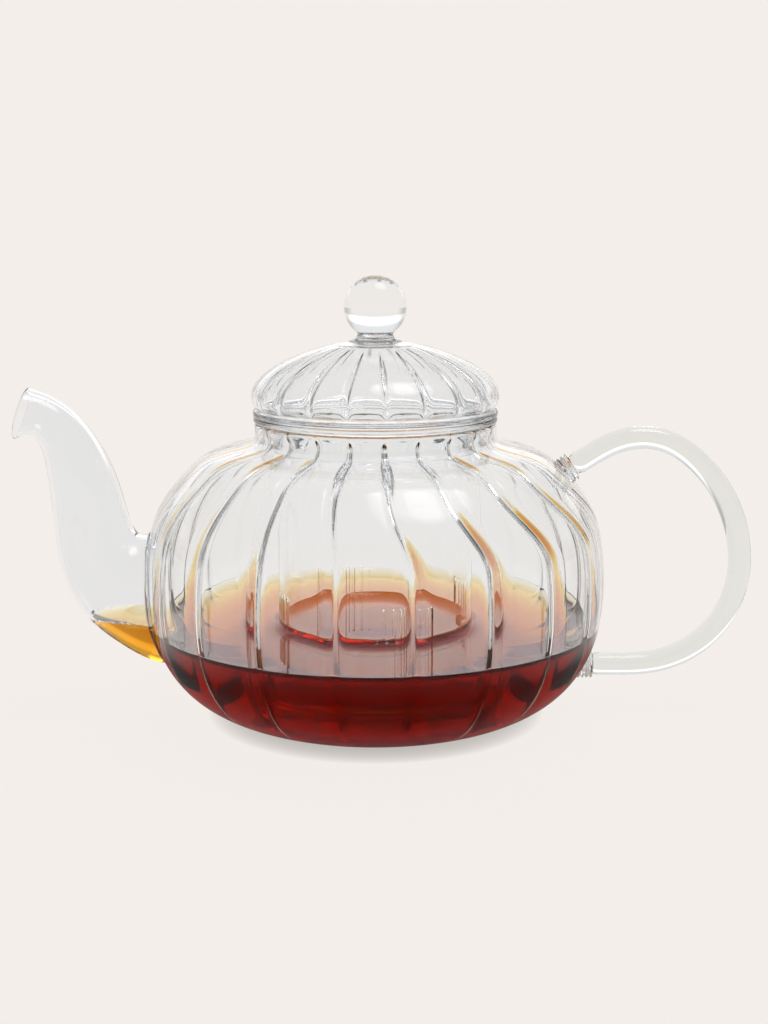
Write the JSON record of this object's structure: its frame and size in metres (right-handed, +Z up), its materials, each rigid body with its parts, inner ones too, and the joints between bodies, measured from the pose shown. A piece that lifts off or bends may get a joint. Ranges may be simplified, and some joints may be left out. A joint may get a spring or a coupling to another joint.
{
  "type": "teapot",
  "caption": "Round fluted clear-glass teapot with curved spout, C-shaped rod handle, ball-knobbed fluted lid and a slotted glass infuser, part filled with tea.",
  "frame": {"origin": "centre of the base, on the surface the pot stands on", "axes": "+Z up through the knob, +X towards the handle, -X towards the spout"},
  "size_m": [0.2342, 0.145, 0.1387],
  "materials": {
    "glass": "clear blown borosilicate glass, fire-polished",
    "tea": "clear dark red tea, amber where it is thin"
  },
  "bodies": {
    "pot": {"pot_body": "glass", "spout": "glass", "spout_weld": "glass", "handle": "glass", "handle_upper_weld": "glass", "handle_lower_weld": "glass", "tea_pool": "tea", "tea_in_infuser": "tea"},
    "infuser": {"infuser": "glass"},
    "lid": {"lid_rim": "glass", "lid_skirt": "glass", "lid_dome": "glass", "lid_knob_neck": "glass", "lid_knob": "glass"}
  },
  "joints": [
    {"name": "infuser_lift", "type": "slide", "parent": "pot", "child": "infuser", "axis": [0, 0, 1], "range_m": [0, 0.085], "deforming": ["tea_pool", "tea_in_infuser"]},
    {"name": "lid_lift", "type": "slide", "parent": "infuser", "child": "lid", "axis": [0, 0, 1], "range_m": [0, 0.035]}
  ]
}
